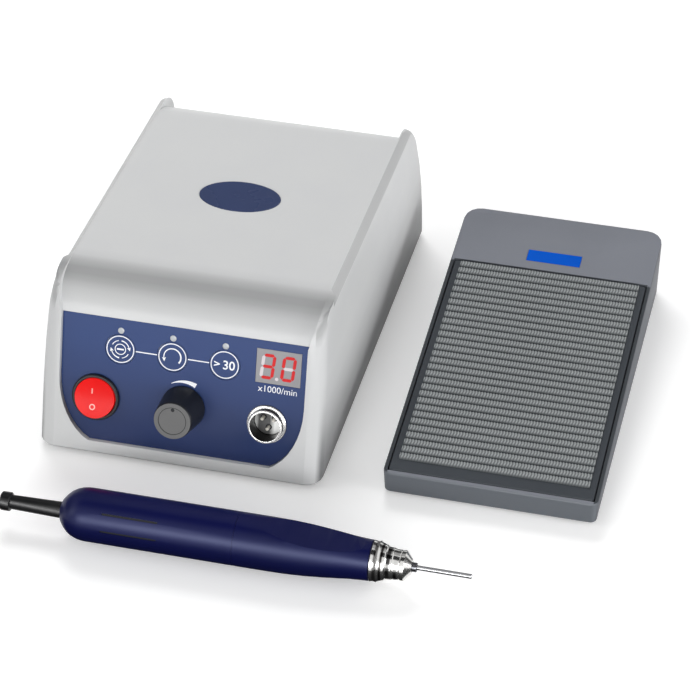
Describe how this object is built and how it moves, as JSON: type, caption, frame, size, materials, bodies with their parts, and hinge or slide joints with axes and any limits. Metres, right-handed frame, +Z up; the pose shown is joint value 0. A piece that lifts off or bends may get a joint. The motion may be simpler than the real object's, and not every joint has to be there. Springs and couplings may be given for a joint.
{
  "type": "dental lab micromotor",
  "caption": "Dental lab micromotor: white control box with blue sloping panel, navy motor handpiece with tool shank, and grey ribbed foot pedal.",
  "frame": {"origin": "on the floor, at the middle of the ground that the three units cover", "axes": "+Z up, +X to the right along the box's front, +Y to its rear; the panel faces -Y, and the handpiece lies along X with its tool towards +X"},
  "size_m": [0.2744, 0.2892, 0.0824],
  "materials": {
    "badge_blue": "bright blue plate",
    "badge_navy": "domed badge, dark blue",
    "board_green": "circuit board",
    "boot_black": "soft black strain relief",
    "bottom_grey": "base plate",
    "brass_pin": "plated contact",
    "cap_grey": "grey knob cap",
    "chrome": "bright plated",
    "coil_copper": "enamelled copper under tape",
    "core_steel": "laminated steel",
    "cover_white": "moulded ABS, light grey-white, satin gloss",
    "display_black": "display block",
    "foot_rubber": "moulded rubber",
    "knob_grey": "moulded dark grey knob",
    "led_lens": "unlit LED lens",
    "magnet_grey": "sintered magnet",
    "navy_body": "moulded navy, gloss",
    "pad_rubber": "ribbed rubber",
    "panel_blue": "printed polyester overlay, dark blue",
    "pedal_grey": "moulded mid grey, satin",
    "rocker_red": "lit red rocker",
    "steel": "turned steel",
    "switch_black": "moulded black nylon",
    "treadle_grey": "moulded dark grey",
    "window_smoke": "tinted display window"
  },
  "bodies": {
    "control_box": {"housing_shell": "cover_white", "bottom_plate": "bottom_grey", "box_foot_front_left": "foot_rubber", "box_foot_front_right": "foot_rubber", "box_foot_rear_left": "foot_rubber", "box_foot_rear_right": "foot_rubber", "front_panel": "panel_blue", "display_window": "window_smoke", "display_module": "display_black", "display_board": "board_green", "led_left": "led_lens", "led_middle": "led_lens", "led_right": "led_lens", "switch_bezel": "switch_black", "speed_potentiometer": "steel", "socket_shell": "chrome", "socket_insert": "switch_black", "socket_pin_left": "brass_pin", "socket_pin_right": "brass_pin", "socket_pin_lower": "brass_pin", "socket_nut": "steel", "lid_badge": "badge_navy", "control_board": "board_green", "transformer_core": "core_steel", "transformer_coil": "coil_copper", "mains_inlet": "switch_black", "fuse_holder": "switch_black", "pedal_socket": "steel"},
    "rocker": {"power_rocker": "rocker_red"},
    "knob": {"speed_knob": "knob_grey", "knob_cap": "cap_grey", "speed_shaft": "steel"},
    "left_key": {"key_left": "panel_blue"},
    "middle_key": {"key_middle": "panel_blue"},
    "right_key": {"key_right": "panel_blue"},
    "handpiece": {"motor_sleeve": "navy_body", "cord_boot": "boot_black", "stator_magnet": "magnet_grey", "rear_bearing": "steel", "front_bearing": "steel", "nose_sleeve": "chrome", "nose_cap": "chrome"},
    "grip": {"front_grip": "navy_body"},
    "rotor": {"rotor_core": "core_steel", "spindle": "steel"},
    "chuck": {"collet": "steel"},
    "tool": {"tool_shank": "steel"},
    "pedal": {"pedal_base": "pedal_grey", "pedal_badge": "badge_blue", "hinge_pin": "steel", "return_spring_left": "steel", "return_spring_right": "steel", "pedal_switch": "switch_black", "cord_gland": "boot_black", "pedal_foot_front_left": "foot_rubber", "pedal_foot_front_right": "foot_rubber", "pedal_foot_rear_left": "foot_rubber", "pedal_foot_rear_right": "foot_rubber"},
    "treadle_plate": {"treadle": "treadle_grey", "tread_pad": "pad_rubber"}
  },
  "joints": [
    {"name": "power_rocker_tilt", "type": "hinge", "parent": "control_box", "child": "rocker", "pos_m": [-0.10733, -0.06782, 0.02942], "axis": [1, 0, 0], "range_deg": [0, 14]},
    {"name": "speed_knob_turn", "type": "hinge", "parent": "control_box", "child": "knob", "pos_m": [-0.06402, -0.06661, 0.03062], "axis": [0, 0.9568, -0.2907], "range_deg": [0, 270]},
    {"name": "key_left_press", "type": "slide", "parent": "control_box", "child": "left_key", "axis": [0, 0.9568, -0.2907], "range_m": [0, 0.0004], "stiffness_N_per_m": 1500, "springref_m": -0.0003},
    {"name": "key_middle_press", "type": "slide", "parent": "control_box", "child": "middle_key", "axis": [0, 0.9568, -0.2907], "range_m": [0, 0.0004], "stiffness_N_per_m": 1500, "springref_m": -0.0003},
    {"name": "key_right_press", "type": "slide", "parent": "control_box", "child": "right_key", "axis": [0, 0.9568, -0.2907], "range_m": [0, 0.0004], "stiffness_N_per_m": 1500, "springref_m": -0.0003},
    {"name": "handpiece_lift", "type": "slide", "parent": "control_box", "child": "handpiece", "axis": [0, 0, 1], "range_m": [0, 0.12]},
    {"name": "grip_twist", "type": "hinge", "parent": "handpiece", "child": "grip", "pos_m": [-0.01947, -0.13195, 0.01265], "axis": [1, 0, 0], "range_deg": [0, 60]},
    {"name": "rotor_spin", "type": "hinge", "parent": "handpiece", "child": "rotor", "pos_m": [-0.01947, -0.13195, 0.01265], "axis": [1, 0, 0], "continuous": true},
    {"name": "collet_slide", "type": "slide", "parent": "rotor", "child": "chuck", "axis": [1, 0, 0], "range_m": [0, 0.0008]},
    {"name": "tool_pull", "type": "slide", "parent": "chuck", "child": "tool", "axis": [1, 0, 0], "range_m": [0, 0.04]},
    {"name": "pedal_lift", "type": "slide", "parent": "control_box", "child": "pedal", "axis": [0, 0, 1], "range_m": [0, 0.12]},
    {"name": "treadle_press", "type": "hinge", "parent": "pedal", "child": "treadle_plate", "pos_m": [0.08572, -0.06454, 0.00907], "axis": [-1, 0, 0], "range_deg": [0, 2.5], "stiffness_Nm_per_rad": 8, "springref_deg": -1.72, "deforming": ["return_spring_left", "return_spring_right"]}
  ],
  "couplings": [
    {"joint": "collet_slide", "follows": "grip_twist", "m_per_rad": 0.00076}
  ]
}
